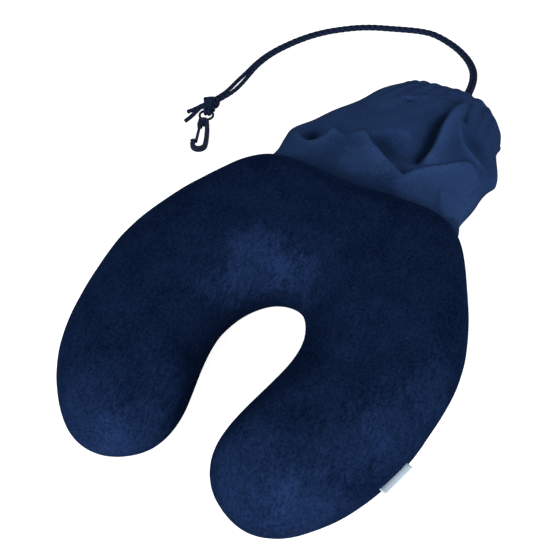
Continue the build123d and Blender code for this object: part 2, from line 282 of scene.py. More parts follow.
def smooth(t):
    """0 below 0, 1 above 1 and a smooth rise between."""
    t = np.clip(t, 0, 1)
    return t * t * (3 - 2 * t)


def through(points, count):
    """Evenly parametrised Catmull-Rom points through a list of points, ends included."""
    points = np.asarray(points, float)
    ends = [2 * points[0] - points[1]], [2 * points[-1] - points[-2]]
    padded = np.concatenate([ends[0], points, ends[1]])
    where = np.linspace(0, len(points) - 1, count)
    first = np.minimum(where.astype(int), len(points) - 2)
    t = (where - first)[:, None]
    a, b, c, d = (padded[first + step] for step in range(4))
    bend = 2 * b + (c - a) * t + (2 * a - 5 * b + 4 * c - d) * t**2 + (3 * b - a - 3 * c + d) * t**3
    return bend / 2


def even(path, step):
    """The same path with its points a fixed step apart."""
    path = np.asarray(path, float)
    length = np.concatenate([[0], np.cumsum(np.linalg.norm(np.diff(path, axis=0), axis=1))])
    stops = np.linspace(0, length[-1], max(2, int(round(length[-1] / step)) + 1))
    return np.stack([np.interp(stops, length, path[:, axis]) for axis in range(3)], axis=1)


def add(name, mesh):
    """A new smooth-shaded object in the scene."""
    obj = bpy.data.objects.new(name, mesh)
    bpy.context.collection.objects.link(obj)
    mesh.polygons.foreach_set("use_smooth", [True] * len(mesh.polygons))
    return obj


def mesh_of(name, verts, faces):
    """A mesh from plain lists."""
    mesh = bpy.data.meshes.new(name)
    mesh.from_pydata([tuple(vert) for vert in verts], [], faces)
    mesh.update()
    return mesh


def coords(mesh):
    """Vertex places as an array."""
    flat = np.empty(len(mesh.vertices) * 3)
    mesh.vertices.foreach_get("co", flat)
    return flat.reshape(-1, 3)


def set_coords(mesh, places):
    """Moves a mesh's vertices to new places."""
    mesh.vertices.foreach_set("co", np.asarray(places, float).ravel())
    mesh.update()


def normals(mesh):
    """Vertex normals as an array."""
    flat = np.empty(len(mesh.vertices) * 3)
    mesh.vertex_normals.foreach_get("vector", flat)
    return flat.reshape(-1, 3)


def bake(obj):
    """Replaces an object's mesh by its modified mesh and drops the modifiers."""
    graph = bpy.context.evaluated_depsgraph_get()
    mesh = bpy.data.meshes.new_from_object(obj.evaluated_get(graph))
    obj.modifiers.clear()
    obj.data = mesh
    mesh.polygons.foreach_set("use_smooth", [True] * len(mesh.polygons))


def puff(obj, pressure, frames, cap):
    """Blows a closed cloth up a little and keeps each point within cap of its start."""
    start = coords(obj.data)
    cloth = obj.modifiers.new("puff", "CLOTH")
    cloth.settings.use_pressure = True
    cloth.settings.uniform_pressure_force = pressure
    cloth.settings.effector_weights.gravity = 0
    cloth.point_cache.frame_start = 1
    cloth.point_cache.frame_end = frames
    for step in range(1, frames + 1):
        bpy.context.scene.frame_set(step)
    bake(obj)
    moved = coords(obj.data) - start
    length = np.linalg.norm(moved, axis=1, keepdims=True)
    set_coords(obj.data, start + moved * np.minimum(1, cap / np.maximum(length, mm(0.001))))


def unevenness(places, size, seed):
    """Soft random values from -1 to 1 that vary over the given size."""
    shift = Vector((seed * 7.3, seed * 3.1, seed * 5.7))
    return np.array([noise.noise(Vector(place) / size + shift) for place in places])


# ---------------------------------------------------------------- pillow cover
def seam_loop(bm):
    """The cover's points on the seam plane, in order round the pillow."""
    on_seam = {vert for vert in bm.verts if abs(vert.co.z - SEAM_HEIGHT) < mm(0.03)}
    start = max(on_seam, key=lambda vert: vert.co.y)
    loop, seen = [start], {start}
    while True:
        around = [edge.other_vert(loop[-1]) for edge in loop[-1].link_edges]
        onward = [vert for vert in around if vert in on_seam and vert not in seen]
        if not onward:
            return loop
        loop.append(onward[0])
        seen.add(onward[0])


def sink_seam(mesh):
    """Cuts level rows round the seam, pulls them in as a groove and returns its line."""
    bm = bmesh.new()
    bm.from_mesh(mesh)
    for row in SEAM_CUTS:
        everything = bm.verts[:] + bm.edges[:] + bm.faces[:]
        height = SEAM_HEIGHT + mm(row) / 2
        plane = {"plane_co": (0, 0, height), "plane_no": (0, 0, 1)}
        bmesh.ops.bisect_plane(bm, geom=everything, dist=mm(0.02), **plane)
    bm.normal_update()
    loop = seam_loop(bm)
    for vert in bm.verts:
        near = math.exp(-(((vert.co.z - SEAM_HEIGHT) / SEAM_WIDTH) ** 2))
        flat = Vector((vert.normal.x, vert.normal.y, 0))
        if near > 0.01 and flat.length > 0.3:
            vert.co -= flat.normalized() * SEAM_DEPTH * near
    line = np.array([vert.co for vert in loop + loop[:1]])
    bm.to_mesh(mesh)
    bm.free()
    mesh.update()
    return line


def pillow_cover():
    """The plump velour cover, grown from the foam core, with its seam groove."""
    obj = add("velour_cover", NODES["foam_core"].data.copy())
    obj.data.materials.clear()
    remesh = obj.modifiers.new("remesh", "REMESH")
    remesh.mode = "VOXEL"
    remesh.voxel_size = COVER_VOXEL
    bake(obj)
    relax = obj.modifiers.new("relax", "SMOOTH")
    relax.iterations = RELAX_PASSES
    bake(obj)
    puff(obj, PUFF_PRESSURE, PUFF_FRAMES, PUFF_CAP)
    divide = obj.modifiers.new("divide", "SUBSURF")
    divide.levels = divide.render_levels = 1
    bake(obj)
    core = NODES["foam_core"]
    places, outward = coords(obj.data), normals(obj.data)
    away = places[:, :2] - np.array(NECK_MIDDLE)
    away /= np.linalg.norm(away, axis=1, keepdims=True)
    stand_off = CLOTH_STAND_OFF + OUTER_FULLNESS * (away * outward[:, :2]).sum(axis=1)
    for index, (place, way) in enumerate(zip(places, outward)):
        nearest = core.closest_point_on_mesh(Vector(place))[1]
        height = (Vector(place) - nearest).dot(Vector(way))
        places[index] = place + way * (stand_off[index] - height) * COVER_FOLLOW
    soft = sum(unevenness(places, size, seed) * depth for size, seed, depth in COVER_WAVES)
    places += outward * soft[:, None]
    places[:, 2] = np.maximum(places[:, 2], COVER_LOWEST)
    set_coords(obj.data, places)
    line = sink_seam(obj.data)
    return obj, line


# ---------------------------------------------------------------- stuff sack
def crease(path, left, right, x, y):
    """Share of a crease's height over the plan: 1 along its path and 0 at its ends."""
    line = through([(px, py, 0) for px, py in path], 24)[:, :2]
    length = np.concatenate([[0], np.cumsum(np.linalg.norm(np.diff(line, axis=0), axis=1))])
    best, along, side = np.full(x.shape, 1e9), np.zeros(x.shape), np.zeros(x.shape)
    for index in range(len(line) - 1):
        (ax, ay), (bx, by) = line[index], line[index + 1]
        run = (bx - ax) ** 2 + (by - ay) ** 2
        t = np.clip(((x - ax) * (bx - ax) + (y - ay) * (by - ay)) / run, 0, 1)
        away = np.hypot(x - ax - t * (bx - ax), y - ay - t * (by - ay))
        nearer = away < best
        best = np.where(nearer, away, best)
        along = np.where(nearer, (length[index] + t * math.sqrt(run)) / length[-1], along)
        side = np.where(nearer, (bx - ax) * (y - ay) - (by - ay) * (x - ax), side)
    width = np.where(side > 0, left, right)
    fade = smooth(np.minimum(along, 1 - along) / CREASE_FADE)
    return fade * np.exp(0.25 - np.sqrt((best / width) ** 2 + 0.0625))


def folds(x, y):
    """Height of the sack's folds over the plan, in millimetres."""
    ridges, valleys = np.zeros(x.shape), np.zeros(x.shape)
    for path, left, right, rise in CREASES:
        height = rise * crease(path, left, right, x, y)
        ridges = np.maximum(ridges, height)
        valleys = np.minimum(valleys, height)
    height = ridges + valleys
    for (cx, cy), (long, short), turn, depth in PITS:
        angle = math.radians(turn)
        along = ((x - cx) * math.cos(angle) + (y - cy) * math.sin(angle)) / long
        across = ((y - cy) * math.cos(angle) - (x - cx) * math.sin(angle)) / short
        height -= depth * np.exp(-(along**2) - across**2)
    reach = np.hypot(x - EXIT[0], y - EXIT[1])
    bearing = np.arctan2(y - EXIT[1], x - EXIT[0])
    ripple = np.cos(PLEATS * bearing + 2.5 * np.sin(3 * bearing))
    height += PLEAT_HEIGHT * ripple * np.exp(-reach / PLEAT_REACH) * smooth(reach / 25)
    return height


def sack_rows():
    """Smooth rows of centre, half width, middle height and half height along the sack."""
    rows = through(SACK_STATIONS, SACK_ALONG)
    back, left, right, top, bottom = rows.T
    return back, (left + right) / 2, (right - left) / 2, (top + bottom) / 2, (top - bottom) / 2


def mouth_drop(x, back):
    """How far the sack's rows fall short on the right, where the mouth curves round."""
    ramp = smooth((back - MOUTH_CURVE_START) / (SACK_STATIONS[-1][0] - MOUTH_CURVE_START))
    return MOUTH_CURVE * np.maximum(0, x - MOUTH_CURVE_FROM) ** 2 * ramp


def gather(turn):
    """Small pleats round the mouth, between -1 and 1."""
    wander = 0.9 * np.sin(3 * turn + 1) + 0.6 * np.sin(7 * turn)
    return np.cos(HEM_PLEATS * turn + wander) * (0.65 + 0.35 * np.sin(5 * turn + 2))


def hollowness(lift):
    """How far each point lies below its surroundings, from -1 on a ridge to 1 in a crease; used for painted
    shade in the creases and painted highlight on the ridges.
    """
    around = lift.copy()
    for _ in range(HOLLOW_SPREAD):
        around = (2 * around + np.roll(around, 1, axis=1) + np.roll(around, -1, axis=1)) / 4
        ahead, behind = np.vstack([around[1:], around[-1:]]), np.vstack([around[:1], around[:-1]])
        around = (2 * around + ahead + behind) / 4
    return np.clip((around - lift) / HOLLOW_DEPTH, -1, 1)


def sack_surface(seam_line):
    """The sack's points in millimetres and the painted shade for its colour, from its hollowness and by its
    base, both as along by around.
    """
    back, centre, wide, middle, high = sack_rows()
    turn = np.linspace(0, 2 * math.pi, SACK_AROUND, endpoint=False)
    back, centre, wide, middle, high = (row[:, None] for row in (back, centre, wide, middle, high))
    side, rise = np.cos(turn)[None, :], np.sin(turn)[None, :]
    x = centre + wide * side
    upper = np.abs(rise) ** 0.72
    lower = -(np.abs(rise) ** 0.42)
    z = middle + high * np.where(rise > 0, upper, lower)
    grown = smooth((back - 72) / 26)
    toward_mouth = smooth((back - 205) / 55)
    lift = np.where(rise > 0, folds(x, back) * upper, 0) * grown * (1 - 0.6 * toward_mouth)
    z += lift
    z += HEM_PLEAT_HEIGHT * gather(turn)[None, :] * toward_mouth * np.sign(rise) * np.abs(rise) ** 0.3
    behind = seam_line[seam_line[:, 1] > 0] * 1000
    behind = behind[np.argsort(behind[:, 0])]
    base = np.interp(x, behind[:, 0], behind[:, 1])
    y = back + (base - 71.5) * (1 - smooth((back - 70) / 45)) - mouth_drop(x, back)
    ruffle = np.sin(y / 9) * 1.2 + np.sin(y / 21 + 1) * 1.8
    x += side * np.abs(side) ** 6 * ruffle * grown
    z = np.maximum(z, 0.6)
    painted_base_shade = BASE_SHADE * (1 - smooth((back - BASE_SHADE_FROM) / BASE_SHADE_REACH))
    return np.stack([x, y, z], axis=2), hollowness(lift) + painted_base_shade


def sheet(name, rows):
    """A tube mesh through rows of points, with its first row sewn flat."""
    along, around = rows.shape[:2]
    faces = []
    for row in range(along - 1):
        for col in range(around):
            after = (col + 1) % around
            here, there = row * around, (row + 1) * around
            faces.append((here + col, here + after, there + after, there + col))
    for col in range(around // 2):
        far = (around - col) % around
        faces.append(tuple(dict.fromkeys((col, far, around - col - 1, col + 1))))
    return mesh_of(name, rows.reshape(-1, 3) * mm(1), faces)


def stuff_sack(rows, painted_shade):
    """The sack's cloth: two layers with folds, sewn at the base and open at the mouth."""
    obj = add("sack_cloth", sheet("sack_cloth", rows))
    # The painted shade for the sack's colour: shade in creases and by the base, highlight on ridges.
    shade_attribute = obj.data.attributes.new("painted_shade", "FLOAT", "POINT")
    shade_attribute.data.foreach_set("value", painted_shade.ravel().astype(np.float32))
    outside_faces(obj.data)
    wall = obj.modifiers.new("wall", "SOLIDIFY")
    wall.thickness = SACK_WALL
    wall.offset = -1
    bake(obj)
    return obj


def hem_frame(rows):
    """Place, forward and outward direction round the sack's mouth, in millimetres."""
    edge = rows[-1]
    forward = rows[-1] - rows[-9]
    forward /= np.linalg.norm(forward, axis=1, keepdims=True)
    along = np.roll(edge, -1, axis=0) - np.roll(edge, 1, axis=0)
    outward = np.cross(along, forward)
    outward /= np.linalg.norm(outward, axis=1, keepdims=True)
    if (outward * (edge - edge.mean(axis=0))).sum() < 0:
        outward = -outward
    return edge, forward, outward


def mouth_hem(rows):
    """The hem tunnel round the mouth, gathered on its cord and pinched at the exit."""
    edge, forward, outward = hem_frame(rows)
    turn = np.linspace(0, 2 * math.pi, SACK_AROUND, endpoint=False)
    pinch = np.exp(-(((edge[:, 0] - EXIT[0]) / 6.0) ** 2)) * (edge[:, 2] > edge[:, 2].mean())
    rounding = 1 - 0.6 * np.cos(turn) ** 10
    length = HEM_LENGTH * (1 - 0.25 * pinch) * rounding + 0.7 * gather(turn + 0.1)
    thick = HEM_THICKNESS * (1 - 0.25 * pinch) * rounding + 0.5 * gather(turn) * rounding
    ring = []
    for step in range(HEM_SIDES):
        angle = 2 * math.pi * step / HEM_SIDES
        ahead = math.copysign(abs(math.cos(angle)) ** 0.7, math.cos(angle))
        above = math.copysign(abs(math.sin(angle)) ** 0.7, math.sin(angle))
        bulge = (above - 1) * thick / 2 + 0.35 - 1.4 * pinch * max(0, above)
        reach = (ahead + 1) * length / 2 - 1.2
        ring.append(edge + forward * reach[:, None] + outward * bulge[:, None])
    places = np.stack(ring, axis=0)
    places[:, :, 2] = np.maximum(places[:, :, 2], 0.4)
    faces = tube_faces(HEM_SIDES, SACK_AROUND, True)
    obj = add("mouth_hem", mesh_of("mouth_hem", places.reshape(-1, 3) * mm(1), faces))
    outside_faces(obj.data)
    return obj


def outside_faces(mesh):
    """Turns every face of a closed mesh outward."""
    bm = bmesh.new()
    bm.from_mesh(mesh)
    bmesh.ops.recalc_face_normals(bm, faces=bm.faces)
    bm.to_mesh(mesh)
    bm.free()


def outward_from(line):
    """Level directions at right angles to a line, away from the pillow's inside."""
    along = line - np.roll(line, 1, axis=0)
    outward = np.stack([along[:, 1], -along[:, 0], 0 * along[:, 0]], axis=1)
    return outward / np.maximum(np.linalg.norm(outward, axis=1, keepdims=True), 1e-9)


def stitches(name, line, lift, length, gap, radius):
    """A row of short thread stitches along a line, each a small capsule."""
    line = np.asarray(line)
    steps = np.linalg.norm(np.diff(line, axis=0), axis=1)
    total = np.concatenate([[0], np.cumsum(steps)])
    capsule = tube_faces(len(STITCH_RINGS), STITCH_SIDES, False)
    verts, faces = [], []
    for start in np.arange(0, total[-1] - length, length + gap):
        rings = []
        for share, size in STITCH_RINGS:
            at = start + share * length
            place = np.array([np.interp(at, total, line[:, axis]) for axis in range(3)])
            up = np.array([np.interp(at, total, lift[:, axis]) for axis in range(3)])
            nearby = np.array([np.interp(at + 0.05, total, line[:, axis]) for axis in range(3)])
            ahead = nearby - place
            ahead /= max(np.linalg.norm(ahead), 1e-9)
            across = np.cross(ahead, up)
            hump = up * radius * (1.1 * math.sin(math.pi * share) - 0.3)
            rings.append([place + hump + (across * math.cos(a) + up * math.sin(a)) * radius * size
                          for a in np.arange(STITCH_SIDES) * 2 * math.pi / STITCH_SIDES])
        first = len(verts)
        verts += [vert for ring in rings for vert in ring]
        faces += [tuple(first + corner for corner in face) for face in capsule]
    obj = add(name, mesh_of(name, np.array(verts) * mm(1), faces))
    outside_faces(obj.data)
    return obj


# ---------------------------------------------------------------- cord, knot and tails
def carried_frames(path, closed):
    """Two cross directions along a path, turned as little as possible."""
    tangent = np.gradient(path, axis=0)
    tangent /= np.linalg.norm(tangent, axis=1, keepdims=True)
    side = np.cross(tangent[0], (0, 0, 1))
    sides = []
    for way in tangent:
        side = side - way * side.dot(way)
        side /= np.linalg.norm(side)
        sides.append(side)
    sides = np.array(sides)
    ups = np.cross(tangent, sides)
    if closed:
        turned = math.atan2(sides[-1].dot(ups[0]), sides[-1].dot(sides[0]))
        back = (-turned * np.linspace(0, 1, len(path)))[:, None]
        sides, ups = sides * np.cos(back) + ups * np.sin(back), ups * np.cos(back) - sides * np.sin(back)
    return sides, ups


def tube_faces(rings, sides, closed):
    """Quads of a tube of rings, with end caps when it is open."""
    faces = []
    for row in range(rings if closed else rings - 1):
        here, below = row * sides, (row + 1) % rings * sides
        for col in range(sides):
            after = (col + 1) % sides
            faces.append((here + col, here + after, below + after, below + col))
    if not closed:
        faces.append(tuple(reversed(range(sides))))
        faces.append(tuple(range((rings - 1) * sides, rings * sides)))
    return faces


def braided_cord(name, path, radius, closed=False, shown=(0, 1), cut_ends=(True, True)):
    """A round braided cord along a path in millimetres; shown is the share of it kept."""
    path = even(path, CORD_STEP)
    side, up = carried_frames(path, closed)
    turns = max(1, round(len(path) * CORD_STEP / BRAID_PITCH))
    phase = (np.arange(len(path)) / (len(path) - 1) * turns * 2 * math.pi)[:, None]
    angle = np.linspace(0, 2 * math.pi, CORD_SIDES, endpoint=False)[None, :]
    half = BRAID_CARRIERS / 2
    relief = np.maximum(np.cos(half * angle + phase), np.cos(half * angle - phase))
    size = radius + BRAID_RELIEF * (relief - 0.5)
    first, last = (int(round(share * len(path))) for share in shown)
    path, side, up, size, relief = (part[first:last] for part in (path, side, up, size, relief))
    if closed:
        path, side, up, size, relief = (part[:-1] for part in (path, side, up, size, relief))
    fray = np.full(len(path), 9.0)
    steps = np.arange(len(path)) * CORD_STEP
    if cut_ends[0] and not closed:
        fray = np.minimum(fray, steps)
    if cut_ends[1] and not closed:
        fray = np.minimum(fray, steps[::-1])
    size = size * np.sqrt(np.clip(fray / 0.9 + 0.35, 0, 1))[:, None]
    across = np.cos(angle)[..., None] * side[:, None] + np.sin(angle)[..., None] * up[:, None]
    places = path[:, None] + size[..., None] * across
    faces = tube_faces(len(path), CORD_SIDES, closed)
    obj = add(name, mesh_of(name, places.reshape(-1, 3) * mm(1), faces))
    # The braid's relief, kept for the painted shade between the yarns.
    yarn = obj.data.attributes.new("yarn", "FLOAT", "POINT")
    yarn.data.foreach_set("value", relief.ravel().astype(np.float32))
    outside_faces(obj.data)
    return obj


def strand_line(side):
    """Centre line of one of the two strands, with the small gaps between them."""
    line = even(through(CORD_PATH, 400), 1.0)
    tangent = np.gradient(line, axis=0)
    across = np.stack([tangent[:, 1], -tangent[:, 0], 0 * tangent[:, 0]], axis=1)
    across /= np.linalg.norm(across, axis=1, keepdims=True)
    run = np.arange(len(line))
    near_knot = np.exp(-(((len(line) - 44 - run) / 20) ** 2))
    closing = smooth((len(line) - run) / 12)
    spread = STRAND_SPACING / 2 * (1 + 0.6 * near_knot) * (0.5 + 0.5 * closing)
    lift = 0.25 * np.sin(run / 24) ** 2
    moved = line + across * side * spread[:, None]
    moved[:, 2] += lift
    return moved


def knot_line():
    """The closed three-lobed line of an overhand knot."""
    turn = np.linspace(0, 2 * math.pi, KNOT_POINTS + 1)
    x = KNOT_LOBES * (np.sin(turn) + 2 * np.sin(2 * turn))
    y = KNOT_LOBES * (np.cos(turn) - 2 * np.cos(2 * turn))
    return np.stack([x, y, -KNOT_DEPTH * np.sin(3 * turn)], axis=1) + np.array(KNOT_CENTRE)


def wrap_line(offset, tilt):
    """One turn of cord round the knot, leaning out of square to the cord."""
    turn = np.linspace(0, 2 * math.pi, KNOT_POINTS + 1)[:, None]
    back = np.array([EYE_BACK[0], EYE_BACK[1], 0])
    across = np.array([EYE_BACK[1], -EYE_BACK[0], 0])
    lean = across * math.cos(math.radians(tilt)) + back * math.sin(math.radians(tilt))
    upright = np.array([0, 0, 1.0])
    middle = np.array(KNOT_CENTRE) + back * offset + upright * 0.6
    return middle + lean * WRAP_WIDTH * np.cos(turn) + upright * WRAP_HEIGHT * np.sin(turn)


def eye_loop_line(side):
    """One strand's U through the hook's eye."""
    back = np.array([EYE_BACK[0], EYE_BACK[1], 0])
    across = np.array([EYE_BACK[1], -EYE_BACK[0], 0])
    bar = np.array(EYE_BAR) + across * side * KNOT_CORD
    points = [bar + back * LOOP_LEG + np.array([0, 0, LOOP_RADIUS])]
    for step in range(LOOP_STEPS + 1):
        angle = math.pi / 2 - math.pi * step / LOOP_STEPS
        rise = np.array([0, 0, LOOP_RADIUS * math.sin(angle)])
        points.append(bar - back * LOOP_RADIUS * math.cos(angle) + rise)
    points.append(bar + back * LOOP_LEG - np.array([0, 0, LOOP_RADIUS]))
    return np.array(points)


def draw_cord(materials):
    """Both strands, each in a part out of the hem and a part to the knot."""
    for side, word in ((-1, "left"), (1, "right")):
        line = strand_line(side)
        run = np.concatenate([[0], np.cumsum(np.linalg.norm(np.diff(line, axis=0), axis=1))])
        split = run[np.argmax(line[:, 1] > CORD_SPLIT)] / run[-1]
        near = braided_cord(f"{word}_cord_out_of_hem", line, CORD_RADIUS, False, (0, split), (True, False))
        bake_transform(near)
        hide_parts(f"cord_lead_{word}")
        far = braided_cord(f"{word}_cord_to_knot", line, CORD_RADIUS, False, (split, 1), (False, True))
        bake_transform(far)
        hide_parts(f"first_run_{word}", f"second_run_{word}")
        finish_piece(near, materials["cord"])
        finish_piece(far, materials["cord"])


def knot_and_tails(materials):
    """The overhand knot, the loop through the hook's eye and the two cut tails."""
    lines = [knot_line()] + [wrap_line(*place) for place in zip(WRAP_OFFSETS, WRAP_TILTS)]
    for index, line in enumerate(lines):
        turn = braided_cord(f"knot_turn_{index + 1}", line, KNOT_CORD, True)
        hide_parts("knot")
        finish_piece(turn, materials["cord"], "cord_second_run")
    for side, word in ((-1, "left"), (1, "right")):
        loop = braided_cord(f"{word}_cord_loop_in_eye", eye_loop_line(side), KNOT_CORD)
        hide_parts("eye_loop")
        finish_piece(loop, materials["cord"], "cord_second_run")
    for name, points in TAILS.items():
        tail = braided_cord(f"cut_{name}", through(points, 40), CORD_RADIUS)
        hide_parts(name)
        finish_piece(tail, materials["cord"], "cord_second_run")


# ---------------------------------------------------------------- woven label
def woven_label():
    """A folded tab of woven tape standing out of the seam."""
    angle = math.radians(LABEL_TURN)
    outward = np.array([math.cos(angle), math.sin(angle), 0])
    along = np.array([-math.sin(angle), math.cos(angle), 0])
    verts, faces = [], []
    profile = []
    for step in range(LABEL_FOLD_STEPS + 1):
        bend = math.pi / 2 - math.pi * step / LABEL_FOLD_STEPS
        reach = LABEL_PROUD - LABEL_THICKNESS / 2
        profile.append((reach + LABEL_THICKNESS / 2 * math.cos(bend), LABEL_THICKNESS / 2 * math.sin(bend)))
    profile = [(-LABEL_TUCK, LABEL_THICKNESS / 2)] + profile + [(-LABEL_TUCK, -LABEL_THICKNESS / 2)]
    count = len(profile)
    for step in range(LABEL_STEPS + 1):
        share = step / LABEL_STEPS - 0.5
        for reach, high in profile:
            sag = LABEL_CURL * (2 * share) ** 2 * max(0, reach) / LABEL_PROUD
            lean = LABEL_DROOP * max(0, reach) / LABEL_PROUD
            place = np.array(LABEL_CENTRE) + outward * reach + along * LABEL_LENGTH * share
            verts.append(place + np.array([0, 0, high + sag - lean]))
    faces = tube_faces(LABEL_STEPS + 1, count, False)
    obj = add("folded_woven_label", mesh_of("folded_woven_label", np.array(verts) * mm(1), faces))
    outside_faces(obj.data)
    for polygon in obj.data.polygons:
        polygon.use_smooth = len(polygon.vertices) == 4
    return obj


# ---------------------------------------------------------------- finishes
def finish_piece(obj, material, body=None):
    """Gives a piece its material and, if named, its body."""
    obj.data.materials.clear()
    obj.data.materials.append(material)
    if body:
        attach(obj, body)


class Finish:
    """A material under construction: small helpers round its node tree."""

    def __init__(self, name, roughness, specular):
        """A new material with its surface numbers set."""
        self.material = bpy.data.materials.new(name)
        self.material.use_nodes = True
        self.tree = self.material.node_tree
        self.shader = self.tree.nodes["Principled BSDF"]
        self.shader.inputs["Roughness"].default_value = roughness
        self.shader.inputs["Specular IOR Level"].default_value = specular
        self.coords = self.tree.nodes.new("ShaderNodeTexCoord").outputs["Object"]

    def link(self, source, target):
        """Joins an output to an input."""
        self.tree.links.new(source, target)

    def noise(self, size, stretch=(1, 1, 1), turn=0, detail=2.0):
        """Noise with features of a size in metres, stretched along its own axes."""
        place = self.tree.nodes.new("ShaderNodeMapping")
        place.vector_type = "TEXTURE"
        place.inputs["Rotation"].default_value = (0, 0, math.radians(turn))
        place.inputs["Scale"].default_value = tuple(size * share for share in stretch)
        self.link(self.coords, place.inputs["Vector"])
        node = self.tree.nodes.new("ShaderNodeTexNoise")
        node.inputs["Scale"].default_value = 1
        node.inputs["Detail"].default_value = detail
        self.link(place.outputs["Vector"], node.inputs["Vector"])
        return node.outputs["Fac"]

    def attribute(self, name):
        """A number stored on the mesh's points."""
        node = self.tree.nodes.new("ShaderNodeAttribute")
        node.attribute_name = name
        return node.outputs["Fac"]

    def spread(self, source, low, high, out_low=0.0, out_high=1.0):
        """Stretches values between low and high over a new range."""
        node = self.tree.nodes.new("ShaderNodeMapRange")
        node.inputs["From Min"].default_value = low
        node.inputs["From Max"].default_value = high
        node.inputs["To Min"].default_value = out_low
        node.inputs["To Max"].default_value = out_high
        self.link(source, node.inputs["Value"])
        return node.outputs["Result"]

    def sum(self, *weighted):
        """Weighted sum of several outputs."""
        total = None
        for source, weight in weighted:
            node = self.tree.nodes.new("ShaderNodeMath")
            node.operation = "MULTIPLY_ADD"
            self.link(source, node.inputs[0])
            node.inputs[1].default_value = weight
            if total:
                self.link(total, node.inputs[2])
            else:
                node.inputs[2].default_value = 0
            total = node.outputs[0]
        return total

    def colour(self, amount, dark, light):
        """Base colour from dark at 0 to light at 1."""
        mix = self.tree.nodes.new("ShaderNodeMix")
        mix.data_type = "RGBA"
        self.link(amount, mix.inputs["Factor"])
        mix.inputs["A"].default_value = (*dark, 1)
        mix.inputs["B"].default_value = (*light, 1)
        self.link(mix.outputs["Result"], self.shader.inputs["Base Color"])

    def deepen(self, amount, deep):
        """Turns the base colour towards a deeper one where amount is above 0."""
        base = self.shader.inputs["Base Color"]
        mix = self.tree.nodes.new("ShaderNodeMix")
        mix.data_type = "RGBA"
        self.link(base.links[0].from_socket, mix.inputs["A"])
        mix.inputs["B"].default_value = (*deep, 1)
        self.link(amount, mix.inputs["Factor"])
        self.link(mix.outputs["Result"], base)

    def times(self, one, other):
        """Product of two outputs."""
        node = self.tree.nodes.new("ShaderNodeMath")
        node.operation = "MULTIPLY"
        self.link(one, node.inputs[0])
        self.link(other, node.inputs[1])
        return node.outputs[0]

    def edge_tone(self, source, change):
        """Changes a value where the surface turns away from the eye: painted sheen where the change is
        positive, painted shade where it is negative.
        """
        facing = self.tree.nodes.new("ShaderNodeLayerWeight")
        facing.inputs["Blend"].default_value = 0.5
        return self.sum((source, 1.0), (self.spread(facing.outputs["Facing"], 0.6, 1.0), change))

    def patch(self, centre, reach):
        """1 at a place and 0 beyond its reach, with a ragged, brushed edge."""
        ragged = self.noise(mm(13), detail=5.0)
        brushed_sheen = self.noise(mm(5), (0.45, 2.2, 1), 0, 3.0)
        away = self.tree.nodes.new("ShaderNodeVectorMath")
        away.operation = "DISTANCE"
        self.link(self.coords, away.inputs[0])
        away.inputs[1].default_value = centre
        rough = self.sum((away.outputs["Value"], 1.0), (ragged, mm(44)), (brushed_sheen, mm(30)))
        return self.spread(rough, reach + mm(37), reach * 0.55 + mm(37))

    def bump(self, height, strength, distance):
        """Raises the surface by the height output, distance metres at full strength."""
        node = self.tree.nodes.new("ShaderNodeBump")
        node.inputs["Strength"].default_value = strength
        node.inputs["Distance"].default_value = distance
        self.link(height, node.inputs["Height"])
        self.link(node.outputs["Normal"], self.shader.inputs["Normal"])


def velour():
    """Dark navy plush with cloudy, streaky tone and lighter patches, partly the nap's lay and partly
    painted sheen where the cover faces the light.
    """
    finish = Finish("velour", 1.0, 0.0)
    clouds = finish.noise(mm(30), detail=5.0)
    streaks = finish.noise(mm(4), (0.6, 1.8, 1), 12, 3.0)
    grain = finish.noise(mm(1.7), (1.0, 1.2, 1), 0, 1.0)
    amount = finish.sum((clouds, 0.7), (streaks, 0.5), (grain, 1.0))
    # Painted sheen: lighter brushed patches where the cover faces the light, partly the nap's own lay.
    patches = [(finish.patch(mm(*centre), mm(reach)), gain) for centre, reach, gain in VELOUR_SHEEN_PATCHES]
    strokes = finish.spread(finish.sum((streaks, 1.0), (grain, 0.5)), 0.45, 1.05, 0.3, 1.0)
    brushed_sheen = finish.times(finish.sum(*patches), strokes)
    tone = finish.sum((finish.spread(amount, 0.82, 1.95), 1.0), (brushed_sheen, 1.0))
    # Painted sheen where the cover turns away from the eye.
    finish.colour(finish.edge_tone(tone, 0.2), VELOUR_DARK, VELOUR_LIGHT)
    nap = finish.sum((streaks, 0.6), (grain, 0.6))
    finish.bump(nap, 0.55, mm(0.9))
    return finish.material


def sack_cloth():
    """Thin brushed polyester, smoother and lighter than the velour, with painted shade in its creases, by
    its base and at its edges and painted highlight on its ridges.
    """
    finish = Finish("sack_cloth", 0.9, 0.03)
    clouds = finish.noise(mm(26), detail=3.0)
    threads = finish.noise(mm(1.1), (0.5, 3.0, 1), 0, 1.0)
    speckle = finish.noise(mm(1.9), detail=1.0)
    amount = finish.sum((clouds, 0.4), (threads, 0.45), (speckle, 0.45))
    painted_shade = finish.attribute("painted_shade")
    lit = [(finish.patch(mm(*centre), mm(reach)), gain) for centre, reach, gain in SACK_PATCHES]
    # Painted shade in the creases and by the base, painted highlight on the ridges and on the parts that
    # catch the light.
    tone = finish.sum((finish.spread(amount, 0.5, 1.2), 1.0), (painted_shade, -0.5), *lit)
    # Painted shade where the sack turns away from the eye.
    finish.colour(finish.edge_tone(tone, -0.3), SACK_DARK, SACK_LIGHT)
    # Painted shade: the deepest creases turned towards a near-black colour.
    finish.deepen(finish.spread(painted_shade, 0.25, 1.0, 0.0, 0.85), SACK_CREASE_SHADE)
    finish.bump(finish.sum((threads, 0.7), (speckle, 0.3)), 0.3, mm(0.35))
    return finish.material


